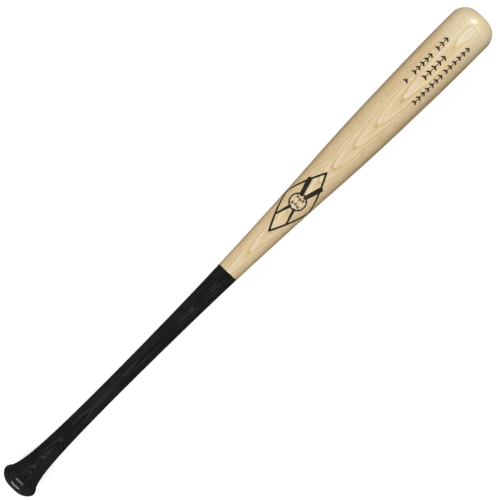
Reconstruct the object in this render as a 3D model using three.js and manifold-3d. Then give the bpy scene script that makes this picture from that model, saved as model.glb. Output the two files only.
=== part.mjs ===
// A one-piece wooden baseball bat, in millimetres.
// It lies along +X, from the knob to the barrel end, with its label facing +Z.
// The origin is the centre of the knob's flat end face.
//
// The bat is one turned ash billet. Its handle is dipped in black lacquer, its barrel has a
// clear lacquer, and black foil marks are pressed flush into the wood under the clear coat.

import * as THREE from 'three';
import { mergeVertices } from 'three/addons/utils/BufferGeometryUtils.js';
import Module from 'manifold-3d';

const wasm = await Module();
wasm.setup();

// ---- Driving dimensions of the turned shape ----

const LENGTH = 863.6;
const SIDES = 32;
const END_STEPS = 7;
const KNOB_BACK_STEPS = 4;

// Each end is a small flat disc with a rounded shoulder out to the full radius.
// A power of 2 would make the shoulder an ellipse, and less makes it more conical.
const KNOB_FRONT = { radius: 25.7, flatRadius: 8.6, depth: 13.0, power: 1.68 };
const BARREL_END = { radius: 32.1, flatRadius: 9.3, depth: 23.6, power: 1.95 };

// Behind its widest ring the knob rounds down to a crease, where the handle's flare starts.
const KNOB_BACK_RADIUS = 12.0;
const KNOB_LENGTH = 22.0;

// [distance from the knob's end, radius] of the body between the crease and the barrel end.
const BODY_STATIONS = [
  [28, 19.5],
  [36, 17.65],
  [48, 15.85],
  [66, 14.35],
  [92, 13.1],
  [130, 12.2],
  [180, 11.85],
  [240, 12.2],
  [300, 13.0],
  [360, 14.3],
  [420, 16.4],
  [480, 19.1],
  [540, 22.25],
  [600, 26.0],
  [660, 28.8],
  [720, 30.5],
  [780, 31.8],
];

// ---- Layers, counted inwards from the finished surface ----

const FINISH_THICKNESS = 0.3;
const GAP = 0.3;
const WOOD_DEPTH = FINISH_THICKNESS + GAP;
const FOIL_TOP_DEPTH = WOOD_DEPTH + 0.1;
const FOIL_THICKNESS = 0.3;
const FOIL_BOTTOM_DEPTH = FOIL_TOP_DEPTH + FOIL_THICKNESS;
const GROOVE_DEPTH = FOIL_BOTTOM_DEPTH + GAP;
const ABOVE_WOOD = -1.0;

// The edge of the black dip, where the two finishes meet.
const DIP_LINE = 395.9;

// ---- Foil marks: sizes along the axis and around the surface ----

// A diamond frame with two crossed bats and a ball inside it.
const DIAMOND = { centre: 524, halfLength: 52.5, halfHeight: 26, halfLine: 1.4 };
const BALL = { radius: 11.5, halfLine: 1.1, steps: 16 };
const SEAM = { offset: 14.5, radius: 10.5, halfLine: 0.6, reach: 49, steps: 5 };
const SEAM_STITCH = { count: 3, spread: 27, length: 4.4, halfLine: 0.6 };
const CROSSED_BAT = { slope: 0.33, handleHalfWidth: 1.3, barrelHalfWidth: 3.6 };

// Rows of seam stitches near the barrel end. A row's turn is its angle from +Z towards +Y.
const STITCH = { pitch: 7.2, height: 7.6, lean: 2.4, halfLine: 0.85, seamHalfLine: 0.5 };
const STITCH_ROWS = [
  { name: 'upper_stitch_foil', turn: 22.4, blocks: [[732, 738], [748, 781], [791, 810]] },
  { name: 'middle_stitch_foil', turn: -4.5, blocks: [[752, 790.5]] },
  { name: 'lower_stitch_foil', turn: -31.5, blocks: [[720, 770.5], [777, 820]] },
];

// ---- Materials ----

const ash = new THREE.MeshStandardMaterial({ color: '#decba6', roughness: 0.5, metalness: 0 });
const blackLacquer = new THREE.MeshStandardMaterial({ color: '#1d1d1f', roughness: 0.4, metalness: 0 });
const clearLacquer = new THREE.MeshStandardMaterial({
  color: '#f4ecd8',
  roughness: 0.3,
  metalness: 0,
  transparent: true,
  opacity: 0.3,
});
const blackFoil = new THREE.MeshStandardMaterial({ color: '#262320', roughness: 0.6, metalness: 0 });

// ---- The finished outline: [along the axis, radius], from the knob's end to the barrel's ----

function roundedEnd({ radius, flatRadius, depth, power }) {
  const points = [];
  for (let i = 0; i <= END_STEPS; i++) {
    const angle = (i / END_STEPS) * (Math.PI / 2);
    const inwards = depth * (1 - Math.cos(angle) ** (2 / power));
    const outwards = flatRadius + (radius - flatRadius) * Math.sin(angle) ** (2 / power);
    points.push(new THREE.Vector2(inwards, outwards));
  }
  return points;
}

function knobBack() {
  const sweep = Math.asin((KNOB_LENGTH - KNOB_FRONT.depth) / KNOB_BACK_RADIUS);
  const points = [];
  for (let i = 1; i <= KNOB_BACK_STEPS; i++) {
    const angle = (i / KNOB_BACK_STEPS) * sweep;
    const along = KNOB_FRONT.depth + KNOB_BACK_RADIUS * Math.sin(angle);
    const radius = KNOB_FRONT.radius - KNOB_BACK_RADIUS * (1 - Math.cos(angle));
    points.push(new THREE.Vector2(along, radius));
  }
  return points;
}

const knobFrontPoints = roundedEnd(KNOB_FRONT);
const knobBackPoints = knobBack();
const barrelEndPoints = roundedEnd(BARREL_END)
  .map((point) => new THREE.Vector2(LENGTH - point.x, point.y))
  .reverse();
const crease = knobBackPoints[knobBackPoints.length - 1];

const bodyCurve = new THREE.SplineCurve([
  crease,
  ...BODY_STATIONS.map(([along, radius]) => new THREE.Vector2(along, radius)),
  barrelEndPoints[0],
]);

function bodyRadius(along) {
  let low = 0;
  let high = 1;
  for (let i = 0; i < 40; i++) {
    const middle = (low + high) / 2;
    if (bodyCurve.getPoint(middle).x < along) low = middle;
    else high = middle;
  }
  return bodyCurve.getPoint(low).y;
}

// The handle's finish ends half a gap before the dip line and the barrel's starts as far past it.
const handleFinishEnd = DIP_LINE - GAP / 2;
const barrelFinishStart = DIP_LINE + GAP / 2;

const bodyPoints = [...BODY_STATIONS.map(([along]) => along), handleFinishEnd, barrelFinishStart]
  .sort((a, b) => a - b)
  .map((along) => new THREE.Vector2(along, bodyRadius(along)));

const finishedOutline = [
  new THREE.Vector2(0, 0),
  ...knobFrontPoints,
  ...knobBackPoints,
  ...bodyPoints,
  ...barrelEndPoints,
  new THREE.Vector2(LENGTH, 0),
];

// The same outline moved inwards by a depth, each corner along its mitre.
function inwardNormal(from, to) {
  return new THREE.Vector2(to.y - from.y, from.x - to.x).normalize();
}

function outlineAtDepth(depth) {
  const last = finishedOutline.length - 1;
  return finishedOutline.map((point, i) => {
    const before = inwardNormal(finishedOutline[Math.max(i - 1, 0)], finishedOutline[Math.max(i, 1)]);
    const after = inwardNormal(finishedOutline[Math.min(i, last - 1)], finishedOutline[Math.min(i + 1, last)]);
    const mitre = before.clone().add(after).divideScalar(1 + before.dot(after));
    return point.clone().addScaledVector(mitre, depth);
  });
}

// ---- Solids ----

// Spins an outline of [along, radius] points about the X axis.
function turned(outline) {
  const spun = new THREE.LatheGeometry(
    outline.map((point) => new THREE.Vector2(point.y, point.x)),
    SIDES,
  );
  return spun.rotateZ(-Math.PI / 2);
}

function toSolid(geometry) {
  geometry.deleteAttribute('normal');
  geometry.deleteAttribute('uv');
  const merged = mergeVertices(geometry, 1e-4);
  const corners = Array.from(merged.index.array);
  const triVerts = [];
  for (let i = 0; i < corners.length; i += 3) {
    const [a, b, c] = corners.slice(i, i + 3);
    if (a !== b && b !== c && c !== a) triVerts.push(a, b, c);
  }
  return new wasm.Manifold(new wasm.Mesh({
    numProp: 3,
    vertProperties: new Float32Array(merged.attributes.position.array),
    triVerts: new Uint32Array(triVerts),
  }));
}

function toGeometry(solid) {
  const { vertProperties, triVerts } = solid.getMesh();
  const geometry = new THREE.BufferGeometry();
  geometry.setAttribute('position', new THREE.BufferAttribute(vertProperties, 3));
  geometry.setIndex(new THREE.BufferAttribute(triVerts, 1));
  geometry.computeVertexNormals();
  return geometry;
}

// The part of the barrel between two depths, open at neither end.
function barrelLayer(topDepth, bottomDepth) {
  const holdsMarks = (point) => point.x > DIP_LINE && point.x < LENGTH - BARREL_END.depth / 2;
  const top = outlineAtDepth(topDepth).filter(holdsMarks);
  const bottom = outlineAtDepth(bottomDepth).filter(holdsMarks);
  return toSolid(turned([...top, ...bottom.reverse(), top[0]]));
}

// ---- Strokes: lines drawn on the barrel as [along, around] points, cut with radial walls ----

const CUTTER_REACH = 3;
const LARGEST_TURN = THREE.MathUtils.degToRad(18);

function angleAround({ x: along, y: around }) {
  return around / bodyRadius(along);
}

// A point on the barrel, moved outwards by a height. turn is the mark's own angle from the top.
function onBarrel(point, turn, height) {
  const angle = THREE.MathUtils.degToRad(turn) + angleAround(point);
  const reach = bodyRadius(point.x) + height;
  return [point.x, reach * Math.sin(angle), reach * Math.cos(angle)];
}

// Adds points to a straight line wherever it bends too far round the barrel in one step.
function followBarrel(stroke) {
  const { points, halfWidths, closed } = stroke;
  const widthAt = (i) => halfWidths?.[i] ?? stroke.halfWidth;
  const stations = [];
  const spans = closed ? points.length : points.length - 1;
  for (let i = 0; i < spans; i++) {
    const next = (i + 1) % points.length;
    const from = new THREE.Vector2(...points[i]);
    const to = new THREE.Vector2(...points[next]);
    const steps = Math.max(1, Math.ceil(Math.abs(angleAround(to) - angleAround(from)) / LARGEST_TURN));
    for (let k = 0; k < steps; k++) {
      const share = k / steps;
      const halfWidth = THREE.MathUtils.lerp(widthAt(i), widthAt(next), share);
      stations.push({ point: from.clone().lerp(to, share), halfWidth });
    }
  }
  if (!closed) {
    const last = points.length - 1;
    stations.push({ point: new THREE.Vector2(...points[last]), halfWidth: widthAt(last) });
  }
  return stations;
}

function strokeSides(points, halfWidths, closed) {
  const count = points.length;
  return points.map((point, i) => {
    const previous = points[closed ? (i + count - 1) % count : Math.max(i - 1, 0)];
    const next = points[closed ? (i + 1) % count : Math.min(i + 1, count - 1)];
    const before = point.clone().sub(previous).normalize();
    const after = next.clone().sub(point).normalize();
    const heading = before.clone().add(after).normalize();
    const ownHeading = before.lengthSq() > 0 ? before : after;
    const side = new THREE.Vector2(-heading.y, heading.x);
    const halfWidth = halfWidths[i] / heading.dot(ownHeading);
    return [point.clone().addScaledVector(side, halfWidth), point.clone().addScaledVector(side, -halfWidth)];
  });
}

// stroke: { points, halfWidth or halfWidths, closed, turn }. grow widens it on every side.
function strokeCutter(stroke, grow) {
  const { closed = false, turn = 0 } = stroke;
  const stations = followBarrel(stroke);
  const points = stations.map(({ point }) => point);
  const halfWidths = stations.map(({ halfWidth }) => halfWidth + grow);
  const last = points.length - 1;
  if (!closed) {
    const startHeading = points[0].clone().sub(points[1]).normalize();
    const endHeading = points[last].clone().sub(points[last - 1]).normalize();
    points[0].addScaledVector(startHeading, grow);
    points[last].addScaledVector(endHeading, grow);
  }

  const positions = strokeSides(points, halfWidths, closed).flatMap(([left, right]) => [
    ...onBarrel(left, turn, CUTTER_REACH),
    ...onBarrel(right, turn, CUTTER_REACH),
    ...onBarrel(right, turn, -CUTTER_REACH),
    ...onBarrel(left, turn, -CUTTER_REACH),
  ]);

  const index = [];
  const spans = closed ? points.length : last;
  for (let i = 0; i < spans; i++) {
    const here = 4 * i;
    const there = 4 * ((i + 1) % points.length);
    for (let k = 0; k < 4; k++) {
      const next = (k + 1) % 4;
      index.push(here + k, here + next, there + next, here + k, there + next, there + k);
    }
  }
  if (!closed) {
    index.push(0, 2, 1, 0, 3, 2);
    index.push(4 * last, 4 * last + 1, 4 * last + 2, 4 * last, 4 * last + 2, 4 * last + 3);
  }

  const geometry = new THREE.BufferGeometry();
  geometry.setAttribute('position', new THREE.BufferAttribute(new Float32Array(positions), 3));
  geometry.setIndex(index);
  return toSolid(geometry);
}

function joinAll(solids) {
  return solids.reduce((whole, solid) => whole.add(solid));
}

const foilLayer = barrelLayer(FOIL_TOP_DEPTH, FOIL_BOTTOM_DEPTH);
const grooveLayer = barrelLayer(ABOVE_WOOD, GROOVE_DEPTH);

// A mark is a list of strokes. It gives the foil itself and the groove it lies in.
function foilOf(strokes) {
  return joinAll(strokes.map((stroke) => strokeCutter(stroke, 0))).intersect(foilLayer);
}

function grooveOf(strokes) {
  return joinAll(strokes.map((stroke) => strokeCutter(stroke, GAP))).intersect(grooveLayer);
}

// ---- The diamond mark ----

function diamondFrame() {
  const { centre, halfLength, halfHeight, halfLine } = DIAMOND;
  const points = [
    [centre + halfLength, 0],
    [centre, halfHeight],
    [centre - halfLength, 0],
    [centre, -halfHeight],
  ];
  return { points, halfWidth: halfLine, closed: true };
}

function arc(centreAlong, centreAround, radius, fromDegrees, toDegrees, steps) {
  const points = [];
  for (let i = 0; i <= steps; i++) {
    const angle = THREE.MathUtils.degToRad(THREE.MathUtils.lerp(fromDegrees, toDegrees, i / steps));
    points.push([centreAlong + radius * Math.cos(angle), centreAround + radius * Math.sin(angle)]);
  }
  return points;
}

function ballStrokes() {
  const { centre } = DIAMOND;
  const rim = arc(centre, 0, BALL.radius, 0, 360, BALL.steps).slice(0, -1);
  const strokes = [{ points: rim, halfWidth: BALL.halfLine, closed: true }];
  for (const facing of [0, 180]) {
    const seamCentre = centre + SEAM.offset * Math.cos(THREE.MathUtils.degToRad(facing + 180));
    const seam = arc(seamCentre, 0, SEAM.radius, facing - SEAM.reach, facing + SEAM.reach, SEAM.steps);
    strokes.push({ points: seam, halfWidth: SEAM.halfLine });
    for (let i = 0; i < SEAM_STITCH.count; i++) {
      const angle = facing + (i - (SEAM_STITCH.count - 1) / 2) * SEAM_STITCH.spread;
      const inner = SEAM.radius - SEAM_STITCH.length / 2;
      const outer = SEAM.radius + SEAM_STITCH.length / 2;
      const [start] = arc(seamCentre, 0, inner, angle, angle, 1);
      const [end] = arc(seamCentre, 0, outer, angle, angle, 1);
      strokes.push({ points: [start, end], halfWidth: SEAM_STITCH.halfLine });
    }
  }
  return strokes;
}

// Two crossed bats, each in two lengths that stop at the ball and at the frame.
function crossedBatStrokes() {
  const { centre, halfLength, halfHeight } = DIAMOND;
  const { slope, handleHalfWidth, barrelHalfWidth } = CROSSED_BAT;
  const frameAlong = halfHeight / (slope + halfHeight / halfLength);
  const ballAlong = BALL.radius / Math.hypot(1, slope);
  const widthAt = (along) => THREE.MathUtils.mapLinear(
    along, -frameAlong, frameAlong, handleHalfWidth, barrelHalfWidth,
  );
  const strokes = [];
  for (const lean of [-slope, slope]) {
    for (const [start, end] of [[-frameAlong, -ballAlong], [ballAlong, frameAlong]]) {
      strokes.push({
        points: [[centre + start, lean * start], [centre + end, lean * end]],
        halfWidths: [widthAt(start), widthAt(end)],
      });
    }
  }
  return strokes;
}

// ---- The stitch rows ----

function stitchBlock([start, end], turn) {
  const length = end - start;
  const count = Math.max(1, Math.round(length / STITCH.pitch));
  const step = count > 1 ? (length - STITCH.lean) / (count - 1) : 0;
  const half = STITCH.height / 2;
  const strokes = [];
  for (let i = 0; i < count; i++) {
    const back = start + i * step;
    strokes.push({
      points: [[back, -half], [back + STITCH.lean, 0], [back, half]],
      halfWidth: STITCH.halfLine,
      turn,
    });
  }
  strokes.push({ points: [[start, 0], [end, 0]], halfWidth: STITCH.seamHalfLine, turn });
  return strokes;
}

// ---- Assembly ----

const marks = [{ name: 'diamond_mark_foil', strokes: [diamondFrame(), ...ballStrokes(), ...crossedBatStrokes()] }];
for (const { name, turn, blocks } of STITCH_ROWS) {
  blocks.forEach((block, i) => {
    const ownName = blocks.length > 1 ? `${name}_${i + 1}` : name;
    marks.push({ name: ownName, strokes: stitchBlock(block, turn) });
  });
}

function billetGeometry() {
  const blank = toSolid(turned(outlineAtDepth(WOOD_DEPTH)));
  const grooves = joinAll(marks.map(({ strokes }) => grooveOf(strokes)));
  return toGeometry(blank.subtract(grooves));
}

// A dipped coat: the finished surface on one side of the dip line, and back along its inside.
function finishGeometry(covers, closedAtKnob) {
  const outside = finishedOutline.filter(covers);
  const inside = outlineAtDepth(FINISH_THICKNESS).filter((_, i) => covers(finishedOutline[i]));
  const loop = closedAtKnob ? [...outside, ...inside.reverse()] : [...inside.reverse(), ...outside];
  return turned(loop);
}

const bat = new THREE.Group();

function addPiece(name, geometry, material) {
  const piece = new THREE.Mesh(geometry, material);
  piece.name = name;
  bat.add(piece);
}

addPiece('ash_billet', billetGeometry(), ash);
addPiece('black_handle_finish', finishGeometry((point) => point.x < DIP_LINE, true), blackLacquer);
addPiece('clear_barrel_finish', finishGeometry((point) => point.x > DIP_LINE, false), clearLacquer);
for (const { name, strokes } of marks) {
  addPiece(name, toGeometry(foilOf(strokes)), blackFoil);
}

export default bat;
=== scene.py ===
"""The looks of a wooden baseball bat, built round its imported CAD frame.

Everything is in metres. The bat lies along +X from the knob to the barrel end, its label faces +Z,
and its axis runs through the origin. MM turns a size in millimetres into metres.
"""

import math
from collections import Counter, namedtuple

import bpy
import numpy as np
from mathutils import Matrix, Vector


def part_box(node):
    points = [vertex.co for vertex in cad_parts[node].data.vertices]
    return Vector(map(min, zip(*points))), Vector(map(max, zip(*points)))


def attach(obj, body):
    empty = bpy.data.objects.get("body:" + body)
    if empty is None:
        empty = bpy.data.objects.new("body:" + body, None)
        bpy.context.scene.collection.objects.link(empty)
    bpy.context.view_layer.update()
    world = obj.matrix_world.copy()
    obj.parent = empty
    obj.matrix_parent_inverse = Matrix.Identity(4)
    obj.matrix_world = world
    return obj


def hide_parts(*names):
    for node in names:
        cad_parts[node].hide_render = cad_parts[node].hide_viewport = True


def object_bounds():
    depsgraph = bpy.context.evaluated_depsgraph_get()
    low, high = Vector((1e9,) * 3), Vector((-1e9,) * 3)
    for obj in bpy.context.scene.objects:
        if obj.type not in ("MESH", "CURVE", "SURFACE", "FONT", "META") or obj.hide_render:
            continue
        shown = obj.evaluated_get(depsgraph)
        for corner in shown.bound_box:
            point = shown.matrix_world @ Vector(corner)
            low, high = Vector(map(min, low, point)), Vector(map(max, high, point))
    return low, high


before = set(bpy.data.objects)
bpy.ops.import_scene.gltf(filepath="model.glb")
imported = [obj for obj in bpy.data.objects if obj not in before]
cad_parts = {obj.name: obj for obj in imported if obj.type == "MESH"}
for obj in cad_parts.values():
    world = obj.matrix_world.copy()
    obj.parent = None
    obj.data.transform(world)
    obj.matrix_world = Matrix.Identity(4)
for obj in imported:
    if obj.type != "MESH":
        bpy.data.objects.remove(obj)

MM = 0.001
CAD_LOW, CAD_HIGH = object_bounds()
LENGTH = CAD_HIGH.x
BARREL_RADIUS = CAD_HIGH.z

HANDLE_FINISH = "black_handle_finish"
BARREL_FINISH = "clear_barrel_finish"
DIP_LINE = (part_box(HANDLE_FINISH)[1].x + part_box(BARREL_FINISH)[0].x) / 2

scene = bpy.context.scene


# ---- Camera: straight above the bat, turned so that the barrel points up and to the right ----

LENS_MM = 300
SENSOR_MM = 36
FIELD = 0.7515 * LENGTH
AIM_ALONG = 0.5054 * LENGTH
AIM_ACROSS = -0.2 * MM
LEAN = math.radians(45.07)


def make_camera():
    """A long lens, high enough above the bat that the picture is FIELD wide."""
    data = bpy.data.cameras.new("camera")
    data.lens = LENS_MM
    data.sensor_width = SENSOR_MM
    data.clip_end = 100
    camera = bpy.data.objects.new("camera", data)
    scene.collection.objects.link(camera)
    height = FIELD * LENS_MM / SENSOR_MM
    camera.location = (AIM_ALONG, AIM_ACROSS, height)
    camera.rotation_euler = (0, 0, -LEAN)
    scene.camera = camera


make_camera()


# ---- The turned outline, read from the CAD's outer surface ----
# The CAD's points are left out near the dip line, where the edges of the two finishes meet.

CORNER_DIGITS = 6
RADIUS_DIGITS = 5
RING_CORNERS = 16
END_MARGIN = 20 * MM
LEAST_OUTWARD = 0.3
OUTLINE_STEP = 1.5 * MM
NEAR_DIP_LINE = 1 * MM


def faces_out(polygon):
    """Whether a face lies on the outside: it looks away from the axis, or along it at the bat's ends."""
    centre = polygon.center
    inside = Vector((min(max(centre.x, END_MARGIN), LENGTH - END_MARGIN), 0, 0))
    return polygon.normal.dot((centre - inside).normalized()) > LEAST_OUTWARD


def outer_rings():
    """[along, radius] of every ring of corners on the finished surface, from the knob to the barrel end.

    The corners of the foil grooves lie on that surface too, but never this many at one place along.
    """
    corners = set()
    for name in (HANDLE_FINISH, BARREL_FINISH):
        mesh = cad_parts[name].data
        for polygon in filter(faces_out, mesh.polygons):
            for i in polygon.vertices:
                corners.add(tuple(round(value, CORNER_DIGITS) for value in mesh.vertices[i].co))
    rings = Counter((along, round(math.hypot(across, up), RADIUS_DIGITS)) for along, across, up in corners)
    return np.array(sorted(ring for ring, count in rings.items() if count >= RING_CORNERS))


def bend_at(points, i):
    """How sharply the outline turns outwards at a point, as the sine of the angle."""
    before = points[i] - points[i - 1]
    after = points[i + 1] - points[i]
    return (before[0] * after[1] - before[1] * after[0]) / (np.linalg.norm(before) * np.linalg.norm(after))


def calm_slopes(points, at):
    """Slopes for a smooth line that never bulges past its points: level wherever the points turn back."""
    chords = np.diff(points, axis=0) / np.diff(at)[:, None]
    before, after = chords[:-1], chords[1:]
    product = before * after
    turning = product <= 0
    middle = 2 * product / np.where(turning, 1, before + after)
    middle[turning] = 0
    return np.concatenate([chords[:1], middle, chords[-1:]])


def smooth_line(points, step):
    """A smooth line through the points, with a new point about every step."""
    lengths = np.linalg.norm(np.diff(points, axis=0), axis=1)
    at = np.concatenate([[0], np.cumsum(lengths)])
    slopes = calm_slopes(points, at)
    new_at = np.linspace(0, at[-1], math.ceil(at[-1] / step) + 1)
    span = np.clip(np.searchsorted(at, new_at, side="right") - 1, 0, len(lengths) - 1)
    size = lengths[span][:, None]
    t = (new_at[:, None] - at[span][:, None]) / size
    start, end = points[span], points[span + 1]
    leaving, arriving = slopes[span] * size, slopes[span + 1] * size
    return (
        (2 * t**3 - 3 * t**2 + 1) * start
        + (t**3 - 2 * t**2 + t) * leaving
        + (3 * t**2 - 2 * t**3) * end
        + (t**3 - t**2) * arriving
    )


def fine_outline():
    """The outline from one flat end's rim to the other's, kept sharp at the crease behind the knob."""
    rings = outer_rings()
    rings = rings[np.abs(rings[:, 0] - DIP_LINE) > NEAR_DIP_LINE]
    crease = max(range(1, len(rings) - 1), key=lambda i: bend_at(rings, i))
    knob = smooth_line(rings[: crease + 1], OUTLINE_STEP / 2)
    body = smooth_line(rings[crease:], OUTLINE_STEP)
    return np.concatenate([knob, body[1:]])


OUTLINE = fine_outline()


def radius_at(along):
    """The outline's radius at a place along the bat, or at an array of places."""
    return np.interp(along, OUTLINE[:, 0], OUTLINE[:, 1])


# ---- Turned pieces ----

SIDES = 160
DIP_SLANT = 0.0286
DIP_REACH = 15 * MM


def slanted(along, across):
    """The dip line leans a little, because the bat went into the lacquer at a slight angle."""
    near = np.exp(-(((along - DIP_LINE) / DIP_REACH) ** 2))
    return along - DIP_SLANT * across * near


def new_object(name, vertices, faces):
    """A smooth-shaded mesh object, placed in the scene."""
    mesh = bpy.data.meshes.new(name)
    mesh.from_pydata(vertices, [], faces)
    mesh.validate()
    mesh.shade_smooth()
    piece = bpy.data.objects.new(name, mesh)
    scene.collection.objects.link(piece)
    return piece


def revolve(name, loop):
    """A closed solid spun about X from [along, radius] points that start and end on the axis."""
    angles = np.linspace(0, 2 * math.pi, SIDES, endpoint=False)
    rings = np.array(loop[1:-1])
    along = rings[:, 0][:, None]
    across = rings[:, 1][:, None] * np.sin(angles)
    up = rings[:, 1][:, None] * np.cos(angles)
    skin = np.stack([slanted(along, across), across, up], axis=-1).reshape(-1, 3)
    vertices = [(loop[0][0], 0, 0), (loop[-1][0], 0, 0), *map(tuple, skin)]

    faces = []
    last = 2 + (len(rings) - 1) * SIDES
    for k in range(SIDES):
        following = (k + 1) % SIDES
        faces.append((0, 2 + k, 2 + following))
        faces.append((1, last + following, last + k))
        for ring in range(2, last, SIDES):
            faces.append((ring + k, ring + SIDES + k, ring + SIDES + following, ring + following))
    return new_object(name, vertices, faces)


def sunk(points, depth):
    """The outline moved inwards, square to itself."""
    heading = np.gradient(points, axis=0)
    heading /= np.linalg.norm(heading, axis=1)[:, None]
    inwards = np.stack([heading[:, 1], -heading[:, 0]], axis=1)
    return points + depth * inwards


# How far below the outline the black finish's inside, the wood under it and the bare wood lie.
FINISH_DEPTH = 0.25 * MM
UNDER_FINISH = 0.3 * MM
WOOD_DEPTH = 0.06 * MM
WOOD_STEP = 0.02 * MM
HIDDEN_STRIDE = 3
LIP_STEPS = 5
LIP_LENGTH = 0.35 * MM


def handle_loop():
    """The black finish: out over the knob, along to the lip at the dip line, and back along its inside."""
    outside = OUTLINE[OUTLINE[:, 0] < DIP_LINE - LIP_LENGTH]
    inside = sunk(outside, FINISH_DEPTH)[::-1]
    edge_radius = radius_at(DIP_LINE)
    turns = np.linspace(0, math.pi / 2, LIP_STEPS)
    lip = [
        (DIP_LINE - LIP_LENGTH * (1 - math.sin(turn)), edge_radius - FINISH_DEPTH * (1 - math.cos(turn)))
        for turn in turns
    ]
    return [(0, 0), *map(tuple, outside), *lip, *map(tuple, inside), (FINISH_DEPTH, 0)]


def wood_loop():
    """The billet: just under the black finish along the handle, and at the surface along the barrel."""
    covered = OUTLINE[OUTLINE[:, 0] < DIP_LINE - NEAR_DIP_LINE][::HIDDEN_STRIDE]
    bare = OUTLINE[OUTLINE[:, 0] > DIP_LINE + NEAR_DIP_LINE]
    edge_radius = radius_at(DIP_LINE)
    return [
        (UNDER_FINISH, 0),
        *map(tuple, sunk(covered, UNDER_FINISH)),
        (DIP_LINE - WOOD_STEP, edge_radius - UNDER_FINISH),
        (DIP_LINE, edge_radius - WOOD_DEPTH),
        *map(tuple, sunk(bare, WOOD_DEPTH)),
        (LENGTH - WOOD_DEPTH, 0),
    ]


# ---- Foil marks: strokes on the barrel, as [along, around] lines with a half width at each point ----

# How far below the outline the foil's two sides lie, and two sizes in grid cells.
FOIL_TOP = 0.02 * MM
FOIL_BOTTOM = 0.2 * MM
NEAREST_CUT = 0.05
MARGIN_CELLS = 3


class Mark:
    """A CAD foil node's place on the barrel: its span along, its angle from the top and its half height."""

    def __init__(self, node):
        corners = np.array([corner.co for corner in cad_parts[node].data.vertices])
        angles = np.arctan2(corners[:, 1], corners[:, 2])
        self.node = node
        self.start, self.end = corners[:, 0].min(), corners[:, 0].max()
        self.middle = (self.start + self.end) / 2
        self.turn = (angles.min() + angles.max()) / 2
        self.half_height = (angles.max() - angles.min()) / 2 * radius_at(self.middle)


def on_circle(along, radius, angle):
    """The point at an angle in degrees on a circle round the mark's middle line."""
    angle = math.radians(angle)
    return along + radius * math.cos(angle), radius * math.sin(angle)


def arc(along, radius, start, end, steps=24):
    """Points on that circle from one angle to another."""
    return [on_circle(along, radius, angle) for angle in np.linspace(start, end, steps + 1)]


def line_distance(grid, points, half_widths):
    """The distance from each grid point to the edge of one stroke, negative inside it."""
    nearest = np.full(grid.shape[:-1], np.inf)
    ends = zip(points, points[1:], half_widths, half_widths[1:])
    for start, end, width, next_width in ends:
        start, run = np.array(start), np.array(end) - np.array(start)
        share = np.clip(((grid - start) @ run) / (run @ run), 0, 1)
        away = np.linalg.norm(grid - start - share[..., None] * run, axis=-1)
        nearest = np.minimum(nearest, away - (width + share * (next_width - width)))
    return nearest


def zero_between(value, other):
    """The share of the way between two values of opposite sign where 0 lies, kept off both ends.

    An outline cut right beside a grid point would leave a face too thin to keep.
    """
    return np.clip(value / (value - other), NEAREST_CUT, 1 - NEAREST_CUT)


def filled_cells(field, grid):
    """The area where field is below 0, cut from the grid's cells: (flat corners, faces)."""
    corners, numbers, faces = [], {}, []

    def corner(a, b):
        """The grid point a, or the place between a and b where the field is 0."""
        first, second = sorted((a, b))
        if (first, second) not in numbers:
            share = 0 if a == b else zero_between(field[first], field[second])
            numbers[first, second] = len(corners)
            corners.append(grid[first] + share * (grid[second] - grid[first]))
        return numbers[first, second]

    inside = field < 0
    touched = inside[:-1, :-1] | inside[1:, :-1] | inside[:-1, 1:] | inside[1:, 1:]
    for i, j in zip(*map(lambda index: index.tolist(), np.nonzero(touched))):
        cell = [(i, j), (i + 1, j), (i + 1, j + 1), (i, j + 1)]
        face = []
        for here, following in zip(cell, cell[1:] + cell[:1]):
            if inside[here]:
                face.append(corner(here, here))
            if inside[here] != inside[following]:
                face.append(corner(here, following))
        faces.append(face)
    return np.array(corners), faces


def foil_plate(mark, strokes, cell):
    """A thin plate that follows the barrel, in the outline of all the strokes together."""
    margin = MARGIN_CELLS * cell
    along = np.arange(mark.start - margin, mark.end + margin, cell)
    around = np.arange(-mark.half_height - margin, mark.half_height + margin, cell)
    grid = np.stack(np.meshgrid(along, around, indexing="ij"), axis=-1)
    field = np.full(grid.shape[:-1], np.inf)
    for points, half_widths in strokes:
        field = np.minimum(field, line_distance(grid, points, half_widths))
    flat, faces = filled_cells(field, grid)

    radius = radius_at(flat[:, 0])
    angle = mark.turn + flat[:, 1] / radius
    layers = []
    for depth in (FOIL_TOP, FOIL_BOTTOM):
        reach = radius - depth
        layers.append(np.stack([flat[:, 0], reach * np.sin(angle), reach * np.cos(angle)], axis=1))
    count = len(flat)

    bottom = [tuple(i + count for i in reversed(face)) for face in faces]
    edges = {(a, b) for face in faces for a, b in zip(face, face[1:] + face[:1])}
    walls = [(b, a, a + count, b + count) for a, b in sorted(edges) if (b, a) not in edges]
    vertices = list(map(tuple, np.concatenate(layers)))
    piece = new_object(mark.node.replace("foil", "print"), vertices, faces + bottom + walls)
    piece.data.shade_flat()
    return piece


def even(points, half_width):
    """A stroke of the same width all along."""
    return points, [half_width] * len(points)


# A name that ends in LINE holds half of a line's width, and the angles are in degrees.
FRAME_LINE = 1.4 * MM
BALL_RADIUS = 11.5 * MM
BALL_LINE = 1.1 * MM
BALL_STEPS = 64
SEAM_AWAY = 14.5 * MM
SEAM_RADIUS = 10.5 * MM
SEAM_LINE = 0.6 * MM
SEAM_HALF_ANGLE = 49
SEAM_STITCH_ANGLES = (-27, 0, 27)
SEAM_STITCH_REACH = 2.2 * MM
BAT_SLOPE = 0.33
BAT_HANDLE_LINE = 1.3 * MM
BAT_BARREL_LINE = 3.6 * MM


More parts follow.
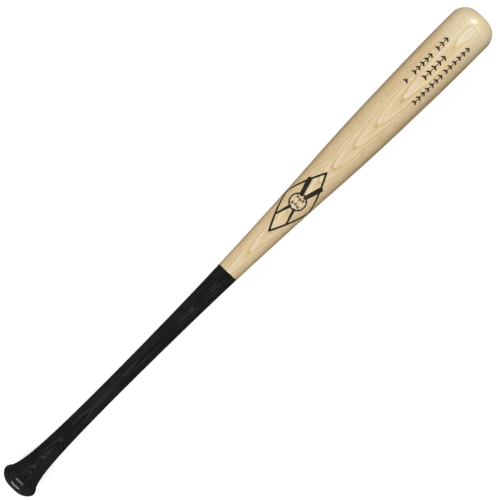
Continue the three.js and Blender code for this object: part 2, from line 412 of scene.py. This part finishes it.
def ball_strokes(middle):
    """A ball with a stitched seam on either side."""
    strokes = [even(arc(middle, BALL_RADIUS, 0, 360, BALL_STEPS), BALL_LINE)]
    for side in (0, 180):
        seam_middle = middle - SEAM_AWAY * math.cos(math.radians(side))
        seam = arc(seam_middle, SEAM_RADIUS, side - SEAM_HALF_ANGLE, side + SEAM_HALF_ANGLE)
        strokes.append(even(seam, SEAM_LINE))
        for angle in SEAM_STITCH_ANGLES:
            inner = on_circle(seam_middle, SEAM_RADIUS - SEAM_STITCH_REACH, side + angle)
            outer = on_circle(seam_middle, SEAM_RADIUS + SEAM_STITCH_REACH, side + angle)
            strokes.append(even([inner, outer], SEAM_LINE))
    return strokes


def bat_strokes(middle, half_length, half_height):
    """Two crossed bats that widen towards the barrel end and leave the ball free."""
    reach = half_height / (BAT_SLOPE + half_height / half_length)
    ball_reach = BALL_RADIUS / math.hypot(1, BAT_SLOPE)
    strokes = []
    for lean in (-BAT_SLOPE, BAT_SLOPE):
        for start, end in ((-reach, -ball_reach), (ball_reach, reach)):
            half_widths = np.interp([start, end], [-reach, reach], [BAT_HANDLE_LINE, BAT_BARREL_LINE])
            strokes.append(([(middle + start, lean * start), (middle + end, lean * end)], half_widths))
    return strokes


def diamond_strokes(mark):
    """A diamond frame, with a ball in the middle of two crossed bats."""
    outer_length, outer_height = (mark.end - mark.start) / 2, mark.half_height
    slant = math.atan(outer_height / outer_length)
    half_length = outer_length - FRAME_LINE / math.sin(slant)
    half_height = outer_height - FRAME_LINE / math.cos(slant)
    corners = [(half_length, 0), (0, half_height), (-half_length, 0), (0, -half_height), (half_length, 0)]
    frame_stroke = even([(mark.middle + along, around) for along, around in corners], FRAME_LINE)
    bats = bat_strokes(mark.middle, half_length, half_height)
    return [frame_stroke, *ball_strokes(mark.middle), *bats]


STITCH_LINE = 1.1 * MM
STITCH_LEAN = 2.4 * MM
STITCH_PITCH = 7.2 * MM
ROW_LINE = 0.6 * MM


def stitch_strokes(mark):
    """A row of chevron stitches along a thin seam."""
    start, end = mark.start + STITCH_LINE, mark.end - STITCH_LINE
    half_height = mark.half_height - STITCH_LINE
    count = max(1, round((end - start) / STITCH_PITCH))
    backs = np.linspace(start, end - STITCH_LEAN, count) if count > 1 else [start]
    strokes = []
    for back in backs:
        chevron = [(back, -half_height), (back + STITCH_LEAN, 0), (back, half_height)]
        strokes.append(even(chevron, STITCH_LINE))
    strokes.append(even([(start, 0), (end, 0)], ROW_LINE))
    return strokes


# ---- Materials ----
# The patterns' places and sizes are in millimetres, and a noise's size is that of its blobs
# (along, across, up). Shares, ramps and roughnesses have no unit.


def set_input(tree, socket, value):
    """Feed a socket from another node's output, or set it to a plain value."""
    if isinstance(value, bpy.types.NodeSocket):
        tree.links.new(value, socket)
    else:
        socket.default_value = value


def maths(tree, operation, *values):
    """The result of one operation on sockets or numbers."""
    node = tree.nodes.new("ShaderNodeMath")
    node.operation = operation
    for socket, value in zip(node.inputs, values):
        set_input(tree, socket, value)
    return node.outputs[0]


def times(tree, first, second):
    """The product of two sockets or numbers."""
    return maths(tree, "MULTIPLY", first, second)


def ramp(tree, value, low, high, start=0.0, end=1.0):
    """value taken smoothly from low..high to start..end."""
    node = tree.nodes.new("ShaderNodeMapRange")
    node.interpolation_type = "SMOOTHSTEP"
    amounts = {"Value": value, "From Min": low, "From Max": high, "To Min": start, "To Max": end}
    for name, amount in amounts.items():
        set_input(tree, node.inputs[name], amount)
    return node.outputs["Result"]


def mix(tree, share, first, second, blend="MIX"):
    """The first colour with a share of the second mixed or multiplied in."""
    node = tree.nodes.new("ShaderNodeMix")
    node.data_type = "RGBA"
    node.blend_type = blend
    set_input(tree, node.inputs["Factor"], share)
    for name, colour in (("A", first), ("B", second)):
        socket = [s for s in node.inputs if s.name == name and s.type == "RGBA"][0]
        set_input(tree, socket, colour)
    return [s for s in node.outputs if s.type == "RGBA"][0]


def layered(tree, colour, layers):
    """The colour with each (share, other colour) laid over it in turn."""
    for share, other in layers:
        colour = mix(tree, share, colour, other)
    return colour


def position(tree):
    """Where the surface is, in millimetres."""
    node = tree.nodes.new("ShaderNodeTexCoord")
    scaled = tree.nodes.new("ShaderNodeVectorMath")
    scaled.operation = "SCALE"
    tree.links.new(node.outputs["Object"], scaled.inputs[0])
    scaled.inputs["Scale"].default_value = 1 / MM
    return scaled.outputs[0]


def noise(tree, where, size, detail, roughness=0.5):
    """Noise whose blobs are about size = (along, across, up) millimetres."""
    stretch = tree.nodes.new("ShaderNodeVectorMath")
    stretch.operation = "DIVIDE"
    tree.links.new(where, stretch.inputs[0])
    stretch.inputs[1].default_value = size
    node = tree.nodes.new("ShaderNodeTexNoise")
    tree.links.new(stretch.outputs[0], node.inputs["Vector"])
    node.inputs["Scale"].default_value = 1.0
    node.inputs["Detail"].default_value = detail
    node.inputs["Roughness"].default_value = roughness
    return node.outputs["Fac"]


def srgb(red, green, blue):
    """A colour given as it looks on screen, 0 to 255, in the linear values that the shader needs."""
    linear = [((c / 255 + 0.055) / 1.055) ** 2.4 if c > 10 else c / 255 / 12.92 for c in (red, green, blue)]
    return (*linear, 1.0)


def bump(tree, height, strength, distance):
    """A surface direction that follows fine relief, distance high in metres."""
    node = tree.nodes.new("ShaderNodeBump")
    node.inputs["Strength"].default_value = strength
    node.inputs["Distance"].default_value = distance
    tree.links.new(height, node.inputs["Height"])
    return node.outputs["Normal"]


RING_SPACING = 1.66
FIRST_RING = 12.02
GRAIN_TILT = math.radians(4.5)
PITH_DEPTH = 400.0
SWELLS = (
    (75.0, 22.0, 0.7),
    (375.0, 30.0, 0.75),
    (648.0, 38.0, -0.48),
    (785.0, 20.0, -0.25),
    (831.0, 20.0, 0.36),
)
WOBBLES = (
    ((70, 16, 16), 0.5),
    ((16, 3.5, 3.5), 0.24),
)


def growth_rings(tree, where):
    """The ash's growth rings, as shells round a pith that lies far below the bat, counted outwards.

    So the label side shows pointed arches and the sides show straight lines. Each swell is a place
    (along, reach, height) where the shells rise or sink a little, and each wobble a noise (size, height)
    that bends them everywhere.
    """
    split = tree.nodes.new("ShaderNodeSeparateXYZ")
    tree.links.new(where, split.inputs[0])
    along, across, up = split.outputs

    height = maths(
        tree, "SUBTRACT",
        times(tree, up, math.cos(GRAIN_TILT)),
        times(tree, across, math.sin(GRAIN_TILT)),
    )
    sideways = maths(
        tree, "ADD",
        times(tree, across, math.cos(GRAIN_TILT)),
        times(tree, up, math.sin(GRAIN_TILT)),
    )
    from_pith = maths(tree, "ADD", height, PITH_DEPTH)
    shell = maths(
        tree, "SQRT",
        maths(tree, "ADD", maths(tree, "POWER", from_pith, 2.0), maths(tree, "POWER", sideways, 2.0)),
    )
    shell = maths(tree, "SUBTRACT", shell, PITH_DEPTH + FIRST_RING)
    for middle, reach, rise in SWELLS:
        away = maths(tree, "DIVIDE", maths(tree, "SUBTRACT", along, middle), reach)
        near = maths(tree, "EXPONENT", times(tree, maths(tree, "POWER", away, 2.0), -1.0))
        shell = maths(tree, "ADD", shell, times(tree, near, rise))
    for size, rise in WOBBLES:
        wobble = maths(tree, "SUBTRACT", noise(tree, where, size, 2), 0.5)
        shell = maths(tree, "ADD", shell, times(tree, wobble, rise))
    return maths(tree, "DIVIDE", shell, RING_SPACING)


LINE_PATCHES = (30, 7, 7)
BANDS_IN_A_RING = 5.0
PORES = (3.4, 0.24, 0.24)
FIBRES = (26, 0.45, 0.45)
FLECKS = (9, 1.2, 1.2)

Grain = namedtuple("Grain", "darkening line bands pores fibres flecks")


def ash_grain(tree, where, contrast=1.0):
    """The parts of the grain, each as 0 to 1. contrast is how clearly the rings show.

    A ring starts pale, darkens slowly outwards and ends in a thin dark line of open pores.
    Bands are the weak stripes inside a ring.
    """
    rings = growth_rings(tree, where)
    through = maths(tree, "FRACT", rings)
    own = tree.nodes.new("ShaderNodeTexWhiteNoise")
    own.noise_dimensions = "1D"
    tree.links.new(maths(tree, "FLOOR", rings), own.inputs["W"])
    fresh = ramp(tree, through, 0.0, 0.05, 1.0, 0.0)
    darkening = maths(tree, "MAXIMUM", ramp(tree, through, 0.15, 0.95), fresh)
    line = maths(tree, "MAXIMUM", ramp(tree, through, 0.84, 0.95), fresh)
    patchy = ramp(tree, noise(tree, where, LINE_PATCHES, 2), 0.3, 0.7, 0.45, 1.0)
    strength = times(tree, ramp(tree, own.outputs["Value"], 0.0, 1.0, 0.6, 1.0), patchy)
    line = times(tree, line, strength)

    stripes = tree.nodes.new("ShaderNodeTexNoise")
    stripes.noise_dimensions = "1D"
    stripes.inputs["Scale"].default_value = BANDS_IN_A_RING
    stripes.inputs["Detail"].default_value = 1.0
    tree.links.new(rings, stripes.inputs["W"])
    bands = ramp(tree, stripes.outputs["Fac"], 0.35, 0.65)

    dashes = noise(tree, where, PORES, 1)
    in_line = times(tree, ramp(tree, dashes, 0.52, 0.64), ramp(tree, line, 0.2, 0.6))
    stray = times(tree, ramp(tree, dashes, 0.68, 0.76), 0.5)
    pores = maths(tree, "MAXIMUM", in_line, stray)
    fibres = noise(tree, where, FIBRES, 3, 0.6)
    flecks = noise(tree, where, FLECKS, 2, 0.6)
    return Grain(times(tree, darkening, contrast), times(tree, line, contrast), bands, pores, fibres, flecks)


def facing(tree, axis):
    """How much the surface faces either way along an axis, 0 to 1."""
    geometry = tree.nodes.new("ShaderNodeNewGeometry")
    split = tree.nodes.new("ShaderNodeSeparateXYZ")
    tree.links.new(geometry.outputs["True Normal"], split.inputs[0])
    return maths(tree, "POWER", maths(tree, "ABSOLUTE", split.outputs[axis]), 2.0)


def new_material(name):
    """A fresh material, its node tree and its shader."""
    material = bpy.data.materials.new(name)
    material.use_nodes = True
    return material, material.node_tree, material.node_tree.nodes["Principled BSDF"]


PATCHES = (120, 18, 18)
SPECKLE = (3.5, 1.2, 1.2)
STREAKS = (60, 1.3, 1.3)
PALER_FROM, PALER_TO = 780.0, 835.0

ASH = srgb(232, 220, 197)
ASH_PATCH = srgb(238, 230, 214)
LATE_WOOD = srgb(222, 203, 162)
BAND = srgb(212, 187, 142)
RING_LINE = srgb(206, 175, 126)
FIBRE = srgb(198, 168, 122)
FLECK = srgb(196, 166, 118)
DARK_SPECK = srgb(190, 160, 114)
STREAK = srgb(200, 171, 124)
OPEN_PORE = srgb(150, 114, 70)
PALER_ASH = srgb(234, 233, 214)
END_GRAIN_TINT = (0.78, 0.69, 0.54, 1.0)
# Partly edge-grain colour and partly painted shade: a browner tint for the sides that face ±Y.
SIDE_GRAIN_AND_SHADE = (1.0, 0.93, 0.8, 1.0)
# Painted shade: a grey that darkens the rims of the sides, where the bat turns away from the lights.
PAINTED_RIM_SHADE = (0.79, 0.77, 0.75, 1.0)


def ash_colour(tree, where, side, grain):
    """Straw-coloured wood, browner on the end grain and paler near the barrel end; the sides are browner,
    partly for their edge grain and partly as painted shade, and painted shade greys their rims.
    """
    split = tree.nodes.new("ShaderNodeSeparateXYZ")
    tree.links.new(where, split.inputs[0])
    paler_end = ramp(tree, split.outputs["X"], PALER_FROM, PALER_TO, 0.0, 0.24)
    specks = ramp(tree, noise(tree, where, SPECKLE, 2, 0.6), 0.4, 0.6)
    specks = times(tree, specks, ramp(tree, side, 0.0, 0.5, 0.12, 0.34))
    streaks = noise(tree, where, STREAKS, 3, 0.65)

    colour = mix(tree, noise(tree, where, PATCHES, 2), ASH, ASH_PATCH)
    colour = layered(tree, colour, [
        (grain.darkening, LATE_WOOD),
        (times(tree, grain.bands, 0.16), BAND),
        (times(tree, grain.line, 0.7), RING_LINE),
        (ramp(tree, grain.fibres, 0.35, 0.7, 0.0, 0.22), FIBRE),
        (ramp(tree, grain.flecks, 0.35, 0.65, 0.0, 0.2), FLECK),
        (specks, DARK_SPECK),
        (ramp(tree, streaks, 0.38, 0.65, 0.0, 0.42), STREAK),
        (times(tree, grain.pores, 0.6), OPEN_PORE),
    ])
    colour = mix(tree, facing(tree, "X"), colour, END_GRAIN_TINT, "MULTIPLY")
    # Partly edge grain, partly painted shade: the sides facing ±Y are multiplied browner.
    colour = mix(tree, side, colour, SIDE_GRAIN_AND_SHADE, "MULTIPLY")
    # Painted shade: the rims of the sides, facing most nearly ±Y, are multiplied darker grey.
    colour = mix(tree, ramp(tree, side, 0.66, 0.94), colour, PAINTED_RIM_SHADE, "MULTIPLY")
    return mix(tree, paler_end, colour, PALER_ASH)


def ash_material():
    """Pale flat-sawn ash under a thin clear lacquer. Its rings show less on the sides."""
    material, tree, shader = new_material("ash")
    where = position(tree)
    side = facing(tree, "Y")
    grain = ash_grain(tree, where, contrast=ramp(tree, side, 0.1, 0.6, 1.0, 0.45))
    set_input(tree, shader.inputs["Base Color"], ash_colour(tree, where, side, grain))
    set_input(tree, shader.inputs["Roughness"], ramp(tree, grain.line, 0.0, 1.0, 0.46, 0.58))
    relief = maths(tree, "SUBTRACT", times(tree, grain.fibres, 0.25), grain.pores)
    set_input(tree, shader.inputs["Normal"], bump(tree, relief, 0.25, 0.08 * MM))
    shader.inputs["Specular IOR Level"].default_value = 0.2
    shader.inputs["Coat Weight"].default_value = 0.6
    shader.inputs["Coat Roughness"].default_value = 0.27
    return material


CLOUDS = (38, 6, 6)
BREAKS = (7, 1.4, 1.4)
LACQUER = srgb(20, 20, 21)
WISP = srgb(78, 78, 81)
GREY_FLECK = srgb(40, 40, 41)
BLACK_PORE = srgb(10, 10, 11)


def black_material():
    """Glossy black lacquer, so thin that the ash's open grain still shows through it as grey wisps."""
    material, tree, shader = new_material("black_lacquer")
    where = position(tree)
    grain = ash_grain(tree, where)
    cloud = ramp(tree, noise(tree, where, CLOUDS, 3), 0.38, 0.58, 0.25, 1.0)
    broken = ramp(tree, noise(tree, where, BREAKS, 2), 0.35, 0.6, 0.35, 1.0)
    wisps = maths(tree, "MAXIMUM", grain.line, times(tree, grain.darkening, 0.3))
    colour = layered(tree, LACQUER, [
        (times(tree, wisps, times(tree, cloud, broken)), WISP),
        (ramp(tree, grain.flecks, 0.4, 0.7, 0.0, 0.35), GREY_FLECK),
        (times(tree, grain.pores, 0.7), BLACK_PORE),
    ])
    set_input(tree, shader.inputs["Base Color"], colour)
    set_input(tree, shader.inputs["Roughness"], ramp(tree, grain.line, 0.0, 1.0, 0.15, 0.26))
    dips = maths(tree, "ADD", grain.pores, times(tree, grain.line, 0.5))
    relief = maths(tree, "SUBTRACT", times(tree, grain.fibres, 0.3), dips)
    set_input(tree, shader.inputs["Normal"], bump(tree, relief, 0.12, 0.06 * MM))
    shader.inputs["Specular IOR Level"].default_value = 0.3
    return material


MOTTLE = (2.5, 0.9, 0.9)
FOIL_BLACK = srgb(26, 23, 21)
THIN_FOIL = srgb(46, 41, 36)
WOOD_IN_PORE = srgb(112, 90, 64)


def foil_material():
    """Black foil pressed into the wood, thin over the open pores."""
    material, tree, shader = new_material("black_foil")
    where = position(tree)
    grain = ash_grain(tree, where)
    mottle = noise(tree, where, MOTTLE, 3)
    colour = mix(tree, mottle, FOIL_BLACK, THIN_FOIL)
    colour = mix(tree, times(tree, grain.pores, 0.55), colour, WOOD_IN_PORE)
    set_input(tree, shader.inputs["Base Color"], colour)
    set_input(tree, shader.inputs["Roughness"], ramp(tree, mottle, 0.3, 0.7, 0.42, 0.6))
    relief = maths(tree, "SUBTRACT", grain.fibres, grain.pores)
    set_input(tree, shader.inputs["Normal"], bump(tree, relief, 0.2, 0.05 * MM))
    shader.inputs["Specular IOR Level"].default_value = 0.3
    return material


# ---- The pieces ----


def finish_piece(piece, material, slot, *nodes):
    """Give a piece its material, attach it to the root body and hide the CAD nodes whose place it takes.
    slot is not used.
    """
    piece.data.materials.append(material)
    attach(piece, "root")
    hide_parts(*nodes)


finish_piece(revolve("ash_wood", wood_loop()), ash_material(), "ash", "ash_billet", BARREL_FINISH)
finish_piece(revolve("black_lacquer_dip", handle_loop()), black_material(), "black_lacquer", HANDLE_FINISH)

DIAMOND_CELL = 0.35 * MM
STITCH_CELL = 0.25 * MM

FOIL = foil_material()
for node in sorted(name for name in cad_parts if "foil" in name):
    mark = Mark(node)
    if node.startswith("diamond"):
        plate = foil_plate(mark, diamond_strokes(mark), DIAMOND_CELL)
    else:
        plate = foil_plate(mark, stitch_strokes(mark), STITCH_CELL)
    finish_piece(plate, FOIL, "black_foil", node)


# ---- Floor, lights and surroundings ----

# What the surroundings give to the bat's own colour, to its reflections and to the camera.
AMBIENT = (0.1, 0.08, 0.045, 1)
REFLECTED = (0.06, 0.06, 0.06, 1)
WHITE = (1, 1, 1, 1)

# Near the bat the lights reach the floor too, so it glows less there than far away.
FLOOR_GREY = (0.3, 0.3, 0.3, 1)
FLOOR_GLOW = 0.8
NEAR_FLOOR, FAR_FLOOR = 1.0, 4.0
FLOOR_HALF = 60.0
FLOOR_GAP = 0.1 * MM
KNOB_SHARE = 0.05


def make_floor():
    """A plain white floor just under the barrel and the thinner knob, so it leans a little."""
    knob = OUTLINE[OUTLINE[:, 0] < KNOB_SHARE * LENGTH]
    knob_along, knob_radius = knob[knob[:, 1].argmax()]
    barrel_along = OUTLINE[OUTLINE[:, 1].argmax(), 0]
    lean = math.atan((BARREL_RADIUS - knob_radius) / (barrel_along - knob_along))
    mesh = bpy.data.meshes.new("floor")
    corners = [(FLOOR_HALF * x, FLOOR_HALF * y, 0) for x, y in ((-1, -1), (1, -1), (1, 1), (-1, 1))]
    mesh.from_pydata(corners, [], [(0, 1, 2, 3)])
    floor = bpy.data.objects.new("floor", mesh)
    scene.collection.objects.link(floor)
    under_barrel = Matrix.Translation((barrel_along, 0, -BARREL_RADIUS - FLOOR_GAP))
    floor.matrix_world = under_barrel @ Matrix.Rotation(lean, 4, "Y")
    material, tree, shader = new_material("floor")
    shader.inputs["Base Color"].default_value = FLOOR_GREY
    shader.inputs["Roughness"].default_value = 0.9
    shader.inputs["Specular IOR Level"].default_value = 0.0
    shader.inputs["Emission Color"].default_value = WHITE
    away = tree.nodes.new("ShaderNodeVectorMath")
    away.operation = "LENGTH"
    tree.links.new(tree.nodes.new("ShaderNodeTexCoord").outputs["Object"], away.inputs[0])
    glow = ramp(tree, away.outputs["Value"], NEAR_FLOOR, FAR_FLOOR, FLOOR_GLOW, 1.0)
    tree.links.new(glow, shader.inputs["Emission Strength"])
    mesh.materials.append(material)
    floor.visible_diffuse = False
    floor.visible_glossy = False
    floor.visible_shadow = False


NEARLY_ALONG = 0.99


def add_light(
    name, kind, lean, turn, distance, size, brightness,
    aim=LENGTH / 2, tint=(1, 1, 1), spread=180,
):
    """A rectangular softbox that faces the bat at aim along it.

    A "diffuse" kind lights the surface, and a "glossy" kind only shows as a highlight on it.
    lean is its angle from straight above towards the barrel end, and turn its angle towards +Y.
    size is (along the bat's direction, across it).
    """
    data = bpy.data.lights.new(name, "AREA")
    data.shape = "RECTANGLE"
    data.size, data.size_y = size
    data.energy = brightness * math.pi * size[0] * size[1]
    data.color = tint
    data.spread = math.radians(spread)
    light = bpy.data.objects.new(name, data)
    scene.collection.objects.link(light)
    lean, turn = math.radians(lean), math.radians(turn)
    back = Vector((math.sin(lean), math.cos(lean) * math.sin(turn), math.cos(lean) * math.cos(turn)))
    straight_along = abs(back.x) > NEARLY_ALONG
    across = Vector((0, 1, 0)) if straight_along else back.cross(Vector((1, 0, 0))).normalized()
    along = across.cross(back)
    light.location = Vector((aim, 0, 0)) + distance * back
    light.rotation_euler = Matrix((along, across, back)).transposed().to_euler()
    light.visible_camera = False
    light.visible_diffuse = kind == "diffuse"
    light.visible_glossy = kind == "glossy"


BOX = (0.9, 0.8)
FILL = (1.2, 1.2)
SIDE_GLOSS = (0.12, 0.6)
FAR = 3.0


def make_lights():
    """Two large boxes and softer fills shape the bat, and each small glossy light draws one highlight."""
    for name, lean in (("barrel_end_box", 55), ("knob_end_box", -55)):
        add_light(name, "diffuse", lean, 0, FAR, BOX, 34.5, tint=(1.0, 1.0, 0.98))
    add_light("left_fill", "diffuse", 0, 100, FAR, FILL, 5.3, tint=(1.0, 0.95, 0.74))
    add_light("right_fill", "diffuse", 15, -72, FAR, FILL, 1.7)
    add_light("lower_left_fill", "diffuse", 0, 150, FAR, FILL, 8)
    add_light("lower_right_fill", "diffuse", 0, -150, FAR, FILL, 10)

    add_light("knob_top_strip", "glossy", 6, 0, 0.15, (0.03, 0.13), 9, aim=0.013)
    add_light("knob_front_strip", "glossy", -91, 0, 0.3, (0.06, 0.19), 11.5, aim=0.006)
    add_light(
        "barrel_end_strip", "glossy", 51, 21, 0.6, (0.16, 0.48), 0.8,
        aim=0.847, tint=(0.85, 1, 1.25), spread=20,
    )
    for name, lean, brightness in (("knob_side_gloss", -40, 1.1), ("barrel_side_gloss", 43, 0.9)):
        add_light(name, "glossy", lean, 0, 1.8, SIDE_GLOSS, brightness, aim=0.43, spread=14)


def make_surroundings():
    """Dim surroundings for the light on the bat, which the camera sees as white."""
    world = bpy.data.worlds.new("surroundings")
    scene.world = world
    world.use_nodes = True
    tree = world.node_tree
    background = tree.nodes["Background"]
    path = tree.nodes.new("ShaderNodeLightPath")
    colour = mix(tree, path.outputs["Is Glossy Ray"], AMBIENT, REFLECTED)
    colour = mix(tree, path.outputs["Is Camera Ray"], colour, WHITE)
    tree.links.new(colour, background.inputs["Color"])


make_floor()
make_lights()
make_surroundings()
scene.view_settings.view_transform = "Standard"
scene.cycles.use_denoising = True
